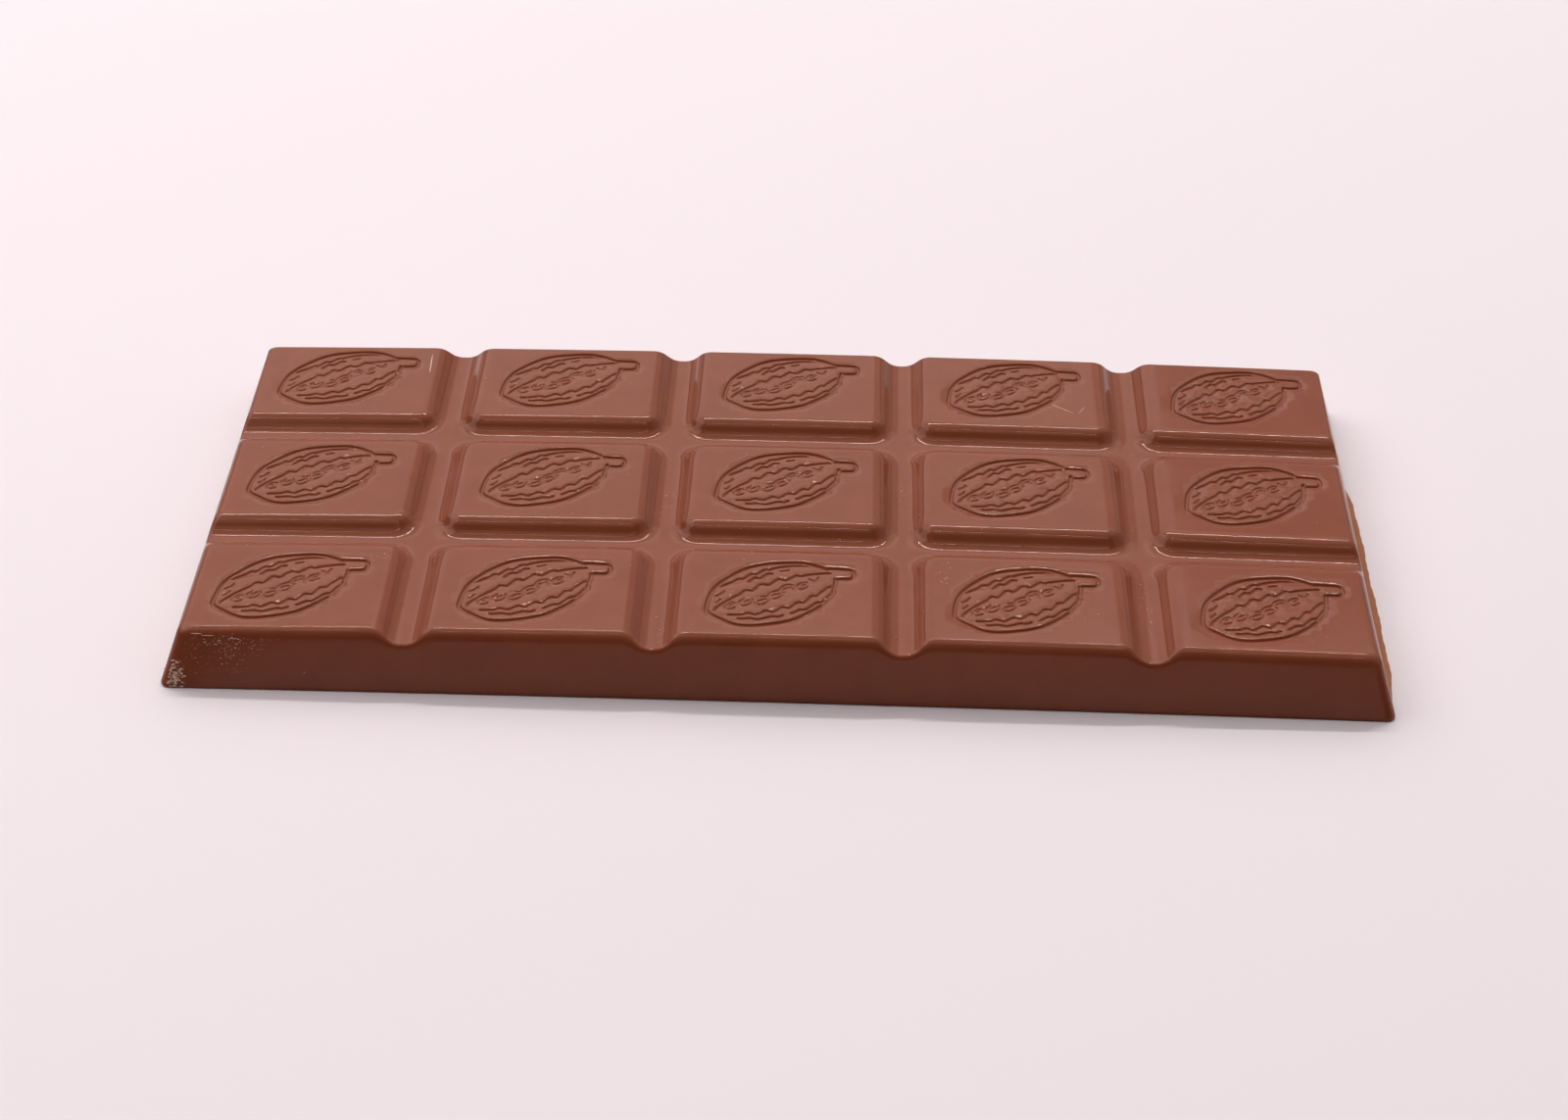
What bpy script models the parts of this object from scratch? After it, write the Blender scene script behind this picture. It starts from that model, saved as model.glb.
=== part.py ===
"""Moulded milk chocolate bar of five by three tiles, lying flat with its tiles up.

Frame: metres, +Z up, origin on the base plane midway between the bar's sides,
+X along the bar and +Y towards its back long side. Each tile carries the sunk
outline of a cocoa pod on its stalk.
"""

import math

import bmesh
import bpy
from mathutils import Vector

# Driving dimensions ------------------------------------------------------------------
MM = 0.001

COLUMNS = 5
ROWS = 3
COLUMN_PITCH = 31.0 * MM
ROW_PITCH = 24.9 * MM
ROW_SHIFT = 0.8 * MM
TOP_LENGTH = 148.8 * MM
TOP_WIDTH = 67.4 * MM
THICKNESS_AT_ENDS = 7.65 * MM
THICKNESS_BOW = 0.85 * MM
THICKNESS_TAPER = 0.3 * MM
DRAFT_ANGLE = math.radians(18.7)
BACK_DRAFT_ANGLE = math.radians(13.5)
SIDE_CORNER_RADIUS = 1.2 * MM

# The groove's half section: distance from the groove's centre line and height over its floor.
GROOVE_SECTION = (
    (0.6 * MM, 0.0),
    (1.7 * MM, 0.48 * MM),
    (2.4 * MM, 1.05 * MM),
    (3.0 * MM, 1.45 * MM),
    (4.1 * MM, 1.7 * MM),
)
TILE_CORNER_RADIUS = 0.6 * MM

RIM_ROUND = 1.3 * MM
BASE_ROUND = 0.25 * MM

POD_CENTRE = (-1.35 * MM, 0.3 * MM)
POD_HALF_LENGTH = 9.15 * MM
POD_HALF_WIDTH = 6.45 * MM
POD_SKEW = 0.07
POD_TILT = math.radians(29.5)
STALK_START = (3.6 * MM, 4.6 * MM)
STALK_END = (8.25 * MM, 4.5 * MM)
STALK_RADIUS = 1.1 * MM
LINE_WIDTH = 0.55 * MM
LINE_DEPTH = 0.35 * MM

LIP_START = -34.4 * MM
LIP_END = 17.6 * MM
LIP_REACH = 0.9 * MM
LIP_HEIGHT = 0.7 * MM
LIP_RIPPLE = 0.15 * MM
LIP_ROOT = 2.0 * MM
# Each wave of the lip's ragged edge: radians over its whole length, phase and share.
LIP_WAVES = ((17.0, 0.6, 0.625), (41.0, 1.9, 0.375))
# The smaller, the more abruptly the lip ends.
LIP_FADE_POWER = 0.35

# How finely round shapes are cut into flats ------------------------------------------
CORNER_STEPS = 4
RIM_STEPS = 5
FOOT_STEPS = 2
POD_STEPS = 28
STALK_STEPS = 4
LIP_STATIONS = 24

# Worked out from the above -----------------------------------------------------------
GROOVE_DEPTH = GROOVE_SECTION[-1][1]
FLOOR_LEVEL = THICKNESS_AT_ENDS - GROOVE_DEPTH
OVERRUN = 4.0 * MM
DRAFT_RUN = THICKNESS_AT_ENDS * math.tan(DRAFT_ANGLE)
BASE_LENGTH = TOP_LENGTH + 2.0 * DRAFT_RUN
BASE_WIDTH = TOP_WIDTH + 2.0 * DRAFT_RUN

BAR_NAME = "chocolate_bar"


def clear_scene():
    """Remove whatever the scene held before."""
    for thing in list(bpy.data.objects):
        bpy.data.objects.remove(thing, do_unlink=True)


def new_collection(name):
    """Return a new collection linked to the scene."""
    collection = bpy.data.collections.new(name)
    bpy.context.scene.collection.children.link(collection)
    return collection


def new_object(name, bm, collection):
    """Turn a bmesh into an object of the given collection."""
    bmesh.ops.recalc_face_normals(bm, faces=bm.faces)
    mesh = bpy.data.meshes.new(name)
    bm.to_mesh(mesh)
    bm.free()
    thing = bpy.data.objects.new(name, mesh)
    collection.objects.link(thing)
    return thing


def new_cutter(name, bm, collection):
    """Turn a bmesh into a cutter, drawn as wires and left out of the render."""
    thing = new_object(name, bm, collection)
    thing.hide_render = True
    thing.display_type = "WIRE"
    return thing


def add_boolean(thing, other, operation):
    """Cut or join an object with another mesh by an exact Boolean."""
    modifier = thing.modifiers.new(operation.lower() + "_" + other.name, "BOOLEAN")
    modifier.object = other
    modifier.operation = operation
    modifier.solver = "EXACT"


def apply_modifiers(thing):
    """Bake the modifiers of an object into its mesh."""
    graph = bpy.context.evaluated_depsgraph_get()
    mesh = bpy.data.meshes.new_from_object(thing.evaluated_get(graph))
    thing.modifiers.clear()
    thing.data = mesh


def milk_chocolate():
    """Satin milk chocolate."""
    material = bpy.data.materials.new("milk_chocolate")
    material.use_nodes = True
    shader = material.node_tree.nodes["Principled BSDF"]
    shader.inputs["Base Color"].default_value = (0.165, 0.052, 0.028, 1.0)
    shader.inputs["Roughness"].default_value = 0.42
    shader.inputs["Metallic"].default_value = 0.0
    shader.inputs["Subsurface Weight"].default_value = 0.15
    return material


def add_loft(bm, loops):
    """Join equal rings of points, given from bottom to top, into one closed solid."""
    rings = [[bm.verts.new(point) for point in loop] for loop in loops]
    count = len(rings[0])
    for lower, upper in zip(rings, rings[1:]):
        for start in range(count):
            following = (start + 1) % count
            bm.faces.new((lower[start], lower[following], upper[following], upper[start]))
    bm.faces.new(list(reversed(rings[0])))
    bm.faces.new(rings[-1])


def rounded_corner(corner, before, after, radius, steps):
    """Points of the arc that rounds a section's corner, between the lines to its two neighbours."""
    back = (Vector(before) - Vector(corner)).normalized()
    forth = (Vector(after) - Vector(corner)).normalized()
    half = back.angle(forth) / 2.0
    centre = Vector(corner) + (back + forth).normalized() * radius / math.sin(half)
    start = Vector(corner) + back * radius / math.tan(half) - centre
    end = Vector(corner) + forth * radius / math.tan(half) - centre
    turn = start.angle(end)
    points = []
    for step in range(steps + 1):
        share = step / steps
        towards = start * math.sin((1.0 - share) * turn) + end * math.sin(share * turn)
        points.append(centre + towards / math.sin(turn))
    return points


def side_section():
    """Section of the bar's sides, from the base round the foot, up the draft and round the rim."""
    foot = (0.0, 0.0)
    rim = (DRAFT_RUN, THICKNESS_AT_ENDS)
    inside = TOP_WIDTH / 2.0
    return [
        *rounded_corner(foot, (inside, 0.0), rim, BASE_ROUND, FOOT_STEPS),
        *rounded_corner(rim, foot, (inside, THICKNESS_AT_ENDS), RIM_ROUND, RIM_STEPS),
    ]


def drafted_slab(collection):
    """The bar before its grooves: rings that follow the sides' section from base to top."""
    bm = bmesh.new()
    loops = []
    for inset, level in side_section():
        back_lean = level * (math.tan(DRAFT_ANGLE) - math.tan(BACK_DRAFT_ANGLE))
        high = (BASE_LENGTH / 2.0 - inset, BASE_WIDTH / 2.0 - inset + back_lean)
        low = (-high[0], inset - BASE_WIDTH / 2.0)
        loops.append(rounded_rectangle(low, high, SIDE_CORNER_RADIUS, level))
    add_loft(bm, loops)
    return new_object(BAR_NAME, bm, collection)


def rounded_rectangle(low, high, radius, level):
    """Points of a rounded rectangle at one level, anticlockwise from its +X side."""
    points = []
    corners = ((high[0], high[1]), (low[0], high[1]), (low[0], low[1]), (high[0], low[1]))
    for quarter, (corner_x, corner_y) in enumerate(corners):
        inward_x = -1.0 if corner_x == high[0] else 1.0
        inward_y = -1.0 if corner_y == high[1] else 1.0
        for step in range(CORNER_STEPS + 1):
            angle = math.radians(90.0) * (quarter + step / CORNER_STEPS)
            x = corner_x + inward_x * radius + radius * math.cos(angle)
            y = corner_y + inward_y * radius + radius * math.sin(angle)
            points.append(Vector((x, y, level)))
    return points


def tile_centre(column, row):
    """Plan centre of a tile."""
    return (column - (COLUMNS - 1) / 2.0) * COLUMN_PITCH, (row - (ROWS - 1) / 2.0) * ROW_PITCH + ROW_SHIFT


def tile_span(centre, pitch, first, last, bar_size, setback):
    """Where a tile starts and ends along one axis, run out past the bar at the bar's sides."""
    low = centre - pitch / 2.0 + setback
    high = centre + pitch / 2.0 - setback
    if first:
        low = -bar_size / 2.0 - OVERRUN
    if last:
        high = bar_size / 2.0 + OVERRUN
    return low, high


def add_tile(bm, column, row):
    """Add one tile standing on the groove floor, its sides following the groove's section."""
    loops = []
    centre_x, centre_y = tile_centre(column, row)
    for setback, height in GROOVE_SECTION:
        span_x = tile_span(centre_x, COLUMN_PITCH, column == 0, column == COLUMNS - 1, BASE_LENGTH, setback)
        span_y = tile_span(centre_y, ROW_PITCH, row == 0, row == ROWS - 1, BASE_WIDTH, setback)
        low = (span_x[0], span_y[0])
        high = (span_x[1], span_y[1])
        radius = TILE_CORNER_RADIUS + GROOVE_SECTION[-1][0] - setback
        loops.append(rounded_rectangle(low, high, radius, FLOOR_LEVEL + height))
    add_loft(bm, loops)


def groove_cutter(collection):
    """Everything above the groove floors that is not a tile."""
    bm = bmesh.new()
    for column in range(COLUMNS):
        for row in range(ROWS):
            add_tile(bm, column, row)
    tiles = new_cutter("tiles", bm, collection)

    bm = bmesh.new()
    bmesh.ops.create_cube(bm, size=1.0)
    height = GROOVE_DEPTH + OVERRUN
    bmesh.ops.scale(bm, vec=Vector((BASE_LENGTH + OVERRUN, BASE_WIDTH + OVERRUN, height)), verts=bm.verts)
    bmesh.ops.translate(bm, vec=Vector((0.0, 0.0, FLOOR_LEVEL + height / 2.0)), verts=bm.verts)
    grooves = new_cutter("grooves", bm, collection)
    add_boolean(grooves, tiles, "DIFFERENCE")
    return grooves


def pod_body(margin):
    """Plan outline of the pod's body: an ellipse along the tilted axis, fuller above near the stalk."""
    points = []
    for step in range(POD_STEPS):
        angle = 2.0 * math.pi * step / POD_STEPS
        along = (POD_HALF_LENGTH + margin) * math.cos(angle)
        across = (POD_HALF_WIDTH + margin) * math.sin(angle) * (1.0 + POD_SKEW * math.sin(2.0 * angle))
        x = POD_CENTRE[0] + along * math.cos(POD_TILT) - across * math.sin(POD_TILT)
        y = POD_CENTRE[1] + along * math.sin(POD_TILT) + across * math.cos(POD_TILT)
        points.append((x, y))
    return points


def pod_stalk(margin):
    """Plan outline of the stalk: a bar with a round far end."""
    start = Vector(STALK_START)
    end = Vector(STALK_END)
    heading = math.atan2(end.y - start.y, end.x - start.x)
    radius = STALK_RADIUS + margin
    across = Vector((-math.sin(heading), math.cos(heading))) * radius
    points = [tuple(start + across), tuple(start - across)]
    for step in range(STALK_STEPS + 1):
        angle = heading - math.radians(90.0) + math.radians(180.0) * step / STALK_STEPS
        points.append((end.x + radius * math.cos(angle), end.y + radius * math.sin(angle)))
    return points


def add_prism(bm, outline, centre, low, high):
    """Add a straight prism over a plan outline placed about a tile's centre."""
    loops = [[Vector((centre[0] + x, centre[1] + y, level)) for x, y in outline] for level in (low, high)]
    add_loft(bm, loops)


def pod_solid(name, margin, low, high, collection):
    """All the pods as prisms, body and stalk joined, grown or shrunk by the margin."""
    body = bmesh.new()
    stalk = bmesh.new()
    for column in range(COLUMNS):
        for row in range(ROWS):
            centre = tile_centre(column, row)
            add_prism(body, pod_body(margin), centre, low, high)
            add_prism(stalk, pod_stalk(margin), centre, low, high)
    bodies = new_cutter(name + "_bodies", body, collection)
    stalks = new_cutter(name + "_stalks", stalk, collection)
    add_boolean(bodies, stalks, "UNION")
    apply_modifiers(bodies)
    return bodies


def pod_line_cutter(collection):
    """The sunk line around every pod: the grown outline less the shrunk one."""
    bottom = THICKNESS_AT_ENDS - LINE_DEPTH
    top = THICKNESS_AT_ENDS + OVERRUN
    lines = pod_solid("outer", LINE_WIDTH / 2.0, bottom, top, collection)
    islands = pod_solid("inner", -LINE_WIDTH / 2.0, bottom - OVERRUN, top + OVERRUN, collection)
    add_boolean(lines, islands, "DIFFERENCE")
    apply_modifiers(lines)
    return lines


def bow_thickness(thing):
    """Thicken the bar a little towards its middle and towards its right end."""
    for vert in thing.data.vertices:
        along = vert.co.x / (TOP_LENGTH / 2.0)
        thickness = THICKNESS_AT_ENDS + THICKNESS_BOW * (1.0 - along * along) + THICKNESS_TAPER * along
        vert.co.z *= thickness / THICKNESS_AT_ENDS


def lip_reach(share):
    """How far the lip stands out at a share of its length: a ragged edge that fades at both ends."""
    fade = math.sin(math.pi * share) ** LIP_FADE_POWER
    ripple = sum(part * math.sin(turns * share + phase) for turns, phase, part in LIP_WAVES)
    return fade * (LIP_REACH + LIP_RIPPLE * ripple)


def side_lip(collection):
    """The thin lip of chocolate along the foot of the bar's right end."""
    bm = bmesh.new()
    side = BASE_LENGTH / 2.0
    inside = side - LIP_ROOT
    loops = []
    for station in range(LIP_STATIONS + 1):
        share = (station + 0.02) / (LIP_STATIONS + 0.04)
        y = LIP_START + (LIP_END - LIP_START) * share
        reach = lip_reach(share)
        crest = LIP_HEIGHT * (0.5 + 0.5 * reach / LIP_REACH)
        section = ((inside, 0.0), (side + reach, 0.0), (side + reach, crest / 2.0), (side - 0.1 * MM, crest))
        loops.append([Vector((x, y, z)) for x, z in (*section, (inside, crest))])
    add_loft(bm, loops)
    return new_cutter("side_lip", bm, collection)


def build_bar():
    """Build the bar: a drafted and rounded slab cut by its grooves and pod lines, bowed and lipped."""
    clear_scene()
    parts = new_collection(BAR_NAME)
    cutters = new_collection("cutters")
    bar = drafted_slab(parts)
    add_boolean(bar, groove_cutter(cutters), "DIFFERENCE")
    add_boolean(bar, pod_line_cutter(cutters), "DIFFERENCE")
    apply_modifiers(bar)
    bow_thickness(bar)
    add_boolean(bar, side_lip(cutters), "UNION")
    bar.data.materials.clear()
    bar.data.materials.append(milk_chocolate())
    bar.data.shade_smooth()
    bar.data.set_sharp_from_angle(angle=math.radians(35.0))


build_bar()
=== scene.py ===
"""Looks of a moulded milk chocolate bar: five by three tiles, each with a sunk cocoa pod.

The bar is one closed skin. Its height is worked out over its plan from the tile
grooves, the drafted sides and the sunk lines of the pods. Lengths of pieces are in
millimetres inside the classes and become metres when a mesh is made.
"""

import logging
import math
from dataclasses import dataclass, field
from enum import Enum

import bpy
import numpy as np
from mathutils import Matrix, Vector
from mathutils.geometry import delaunay_2d_cdt


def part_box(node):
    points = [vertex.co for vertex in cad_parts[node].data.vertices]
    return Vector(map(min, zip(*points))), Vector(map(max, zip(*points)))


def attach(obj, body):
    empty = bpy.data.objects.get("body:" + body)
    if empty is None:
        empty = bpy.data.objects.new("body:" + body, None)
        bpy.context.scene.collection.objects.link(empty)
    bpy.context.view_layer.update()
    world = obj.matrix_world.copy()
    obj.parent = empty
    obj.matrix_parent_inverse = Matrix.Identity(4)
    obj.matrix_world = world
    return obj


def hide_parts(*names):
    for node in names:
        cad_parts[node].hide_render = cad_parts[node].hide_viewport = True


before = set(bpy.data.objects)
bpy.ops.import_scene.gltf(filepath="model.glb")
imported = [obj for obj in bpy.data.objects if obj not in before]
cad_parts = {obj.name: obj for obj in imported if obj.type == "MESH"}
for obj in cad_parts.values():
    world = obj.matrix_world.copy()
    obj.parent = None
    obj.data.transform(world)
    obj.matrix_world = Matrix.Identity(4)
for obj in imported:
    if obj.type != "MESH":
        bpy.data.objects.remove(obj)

MM = 0.001
BODY = "root"
BAR_NODE = "chocolate_bar"

# The lengths from here on are in millimetres.
# What the round at the foot takes off the bar's sharp outline.
FOOT_ROUNDING = 0.1
# Where a pod's tip lies from its tile's centre.
POD_TIP = (-8.8, -3.95)
# How far the crown of the skin and the free edge of the lip stay inside the CAD's box.
CROWN_ROOM = 0.03
LIP_ROOM = 0.3
# How far in from the bar's foot the lip grows out of its side.
LIP_ROOT = 0.45
# How far a grain may stand over the crown.
GRAIN_ROOM = 0.02
# The distance beyond a tile's corner centre that stands for a side without a groove.
FAR_INSIDE = -9.0
# The least length that counts as one.
TINY = 1e-9

log = logging.getLogger("chocolate_bar")


def linear_colour(code: str) -> tuple[float, float, float, float]:
    """Turn an sRGB hex colour into linear light.

    Each channel c becomes c / 12.92 below 0.04045 and ((c + 0.055) / 1.055) ^ 2.4 above.

    Args:
        code: the colour as "#RRGGBB".

    Returns:
        Red, green, blue and an alpha of one.
    """
    channels = [int(code[start : start + 2], 16) / 255.0 for start in (1, 3, 5)]
    red, green, blue = (c / 12.92 if c <= 0.04045 else ((c + 0.055) / 1.055) ** 2.4 for c in channels)
    return red, green, blue, 1.0


def smooth_step(value: np.ndarray, low: float, high: float) -> np.ndarray:
    """Rise from 0 at low to 1 at high as 3 s^2 - 2 s^3, with s the share of the way."""
    share = np.clip((value - low) / (high - low), 0.0, 1.0)
    return share * share * (3.0 - 2.0 * share)


def fill_inputs(node: bpy.types.Node, inputs: dict[str | int, object]) -> None:
    """Fill or link a shader node's input sockets.

    Args:
        node: the node.
        inputs: input sockets by name or number, each with a value or an output socket to link.
    """
    for socket, value in inputs.items():
        if isinstance(value, bpy.types.NodeSocket):
            node.id_data.links.new(value, node.inputs[socket])
        else:
            node.inputs[socket].default_value = value


def add_node(
    tree: bpy.types.NodeTree,
    kind: str,
    settings: dict[str, object] | None = None,
    inputs: dict[str | int, object] | None = None,
) -> bpy.types.Node:
    """Add a shader node, set its properties and fill or link its inputs.

    Args:
        tree: the node tree to add to.
        kind: the node's type name.
        settings: properties of the node by name.
        inputs: input sockets as fill_inputs takes them.

    Returns:
        The new node.
    """
    node = tree.nodes.new(kind)
    for name, value in (settings or {}).items():
        setattr(node, name, value)
    fill_inputs(node, inputs or {})
    return node


def start_material(name: str) -> tuple[bpy.types.Material, bpy.types.Node]:
    """Start a material that has the standard surface shader.

    Args:
        name: the material's name.

    Returns:
        The material and its shader node.
    """
    material = bpy.data.materials.new(name)
    material.use_nodes = True
    return material, material.node_tree.nodes["Principled BSDF"]


def make_piece(
    name: str, points: np.ndarray, faces: list[tuple[int, ...]], material: bpy.types.Material
) -> bpy.types.Object:
    """Make a smooth shaded object at the origin from points in millimetres.

    Args:
        name: the object's name.
        points: an array of n rows of x, y and z.
        faces: each face's corner numbers, anticlockwise from outside.
        material: what the piece is made of.

    Returns:
        The new object, linked to the scene.
    """
    mesh = bpy.data.meshes.new(name)
    mesh.from_pydata((points * MM).tolist(), [], faces)
    mesh.validate()
    mesh.materials.append(material)
    mesh.shade_smooth()
    piece = bpy.data.objects.new(name, mesh)
    bpy.context.scene.collection.objects.link(piece)
    return piece


def add_part(
    name: str, points: np.ndarray, faces: list[tuple[int, ...]], material: bpy.types.Material
) -> bpy.types.Object:
    """Make a piece and put it in the place of the CAD bar.

    Args:
        name: the object's name.
        points: an array of n rows of x, y and z in millimetres.
        faces: each face's corner numbers, anticlockwise from outside.
        material: what the piece is made of.

    Returns:
        The new object.
    """
    piece = make_piece(name, points, faces, material)
    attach(piece, BODY)
    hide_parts(BAR_NODE)
    return piece


# Finishes ------------------------------------------------------------------------------


@dataclass(frozen=True)
class MilkChocolateFinish:
    """Tempered milk chocolate cast in a polished mould.

    The mould leaves a close satin skin with clean glints on its bends, and the
    milk fat lets a little light through, which warms the edges. Sizes are in millimetres.
    """

    name: str = "milk_chocolate"
    body: str = "#80412A"
    pale: str = "#86452D"
    mottle_size: float = 5.2632
    skin_size: float = 1.1111
    skin_relief: float = 0.08
    skin_strength: float = 0.08
    scatter: tuple[float, float, float] = (1.0, 0.34, 0.14)
    scatter_depth: float = 1.4
    scatter_weight: float = 0.12
    roughness: float = 0.1
    ior: float = 1.46
    specular: float = 0.28
    glint: str = "#FFE2D8"

    def material(self) -> bpy.types.Material:
        """Build the material: a faint mottle over one brown, and a very shallow skin bump.

        Returns:
            The new material.
        """
        material, shader = start_material(self.name)
        tree = material.node_tree
        place = add_node(tree, "ShaderNodeTexCoord").outputs["Object"]

        # Fat and sugar settle unevenly over 5 mm or so, which clouds the brown a little.
        mottle = add_node(
            tree,
            "ShaderNodeTexNoise",
            inputs={
                "Vector": place,
                "Scale": 1.0 / (self.mottle_size * MM),
                "Detail": 3.0,
                "Roughness": 0.55,
            },
        )
        shade = add_node(
            tree,
            "ShaderNodeMapRange",
            inputs={"Value": mottle.outputs["Fac"], "From Min": 0.3, "From Max": 0.7},
        )
        colour = add_node(
            tree,
            "ShaderNodeMix",
            {"data_type": "RGBA"},
            {0: shade.outputs["Result"], 6: linear_colour(self.body), 7: linear_colour(self.pale)},
        )
        # The cast skin is flat to a few hundredths of a millimetre over about 1 mm.
        skin = add_node(
            tree,
            "ShaderNodeTexNoise",
            inputs={"Vector": place, "Scale": 1.0 / (self.skin_size * MM), "Detail": 4.0},
        )
        relief = {"Strength": self.skin_strength, "Distance": self.skin_relief * MM}
        bump = add_node(tree, "ShaderNodeBump", inputs={"Height": skin.outputs["Fac"], **relief})
        fill_inputs(
            shader,
            {
                "Base Color": colour.outputs[2],
                "Normal": bump.outputs["Normal"],
                "Roughness": self.roughness,
                "IOR": self.ior,
                "Specular IOR Level": self.specular,
                "Specular Tint": linear_colour(self.glint),
                "Subsurface Weight": self.scatter_weight,
                "Subsurface Radius": self.scatter,
                "Subsurface Scale": self.scatter_depth * MM,
            },
        )
        return material


@dataclass(frozen=True)
class ChocolateDustFinish:
    """Rubbed or crumbled chocolate: its broken fat crystals scatter light, so it looks paler and dry."""

    name: str
    body: str
    grain_size: float = 0.2
    roughness: float = 0.6
    ior: float = 1.46

    def material(self) -> bpy.types.Material:
        """Build the material: one pale brown whose shade changes from grain to grain.

        Returns:
            The new material.
        """
        material, shader = start_material(self.name)
        tree = material.node_tree
        place = add_node(tree, "ShaderNodeTexCoord").outputs["Object"]
        # Each grain of fat or sugar turns its own way and so has its own shade.
        grain = add_node(
            tree,
            "ShaderNodeTexNoise",
            inputs={"Vector": place, "Scale": 1.0 / (self.grain_size * MM), "Detail": 1.0},
        )
        shade = add_node(
            tree,
            "ShaderNodeMapRange",
            inputs={"Value": grain.outputs["Fac"], "To Min": 0.75, "To Max": 1.2},
        )
        tint = add_node(
            tree,
            "ShaderNodeVectorMath",
            {"operation": "SCALE"},
            {0: linear_colour(self.body)[:3], "Scale": shade.outputs["Result"]},
        )
        fill_inputs(
            shader, {"Base Color": tint.outputs["Vector"], "Roughness": self.roughness, "IOR": self.ior}
        )
        return material


@dataclass(frozen=True)
class TableFinish:
    """Matt white studio board: it takes soft shadows and shows no grain."""

    name: str = "studio_board"
    body: str = "#EADDE0"
    roughness: float = 0.9
    specular: float = 0.1

    def material(self) -> bpy.types.Material:
        """Build the matt board.

        Returns:
            The new material.
        """
        material, shader = start_material(self.name)
        fill_inputs(
            shader,
            {
                "Base Color": linear_colour(self.body),
                "Roughness": self.roughness,
                "Specular IOR Level": self.specular,
            },
        )
        return material


# The sunk pod --------------------------------------------------------------------------


class Cut(Enum):
    """The mould's engraving tools: half width of the floor, half width of the mouth, depth."""

    OUTLINE = (0.1, 0.35, 0.33)
    RIDGE = (0.06, 0.28, 0.26)
    SEED = (0.04, 0.22, 0.19)


@dataclass
class Stroke:
    """One engraved line in plan, cut with one tool."""

    points: np.ndarray
    cut: Cut

    def resampled(self, spacing: float) -> np.ndarray:
        """Spread points evenly along the line.

        Args:
            spacing: the wanted distance between points.

        Returns:
            An array of points that keeps both ends.
        """
        steps = np.linalg.norm(np.diff(self.points, axis=0), axis=1)
        along = np.concatenate(([0.0], np.cumsum(steps)))
        count = max(2, int(round(along[-1] / spacing)) + 1)
        wanted = np.linspace(0.0, along[-1], count)
        return np.stack([np.interp(wanted, along, self.points[:, axis]) for axis in (0, 1)], axis=1)


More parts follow.
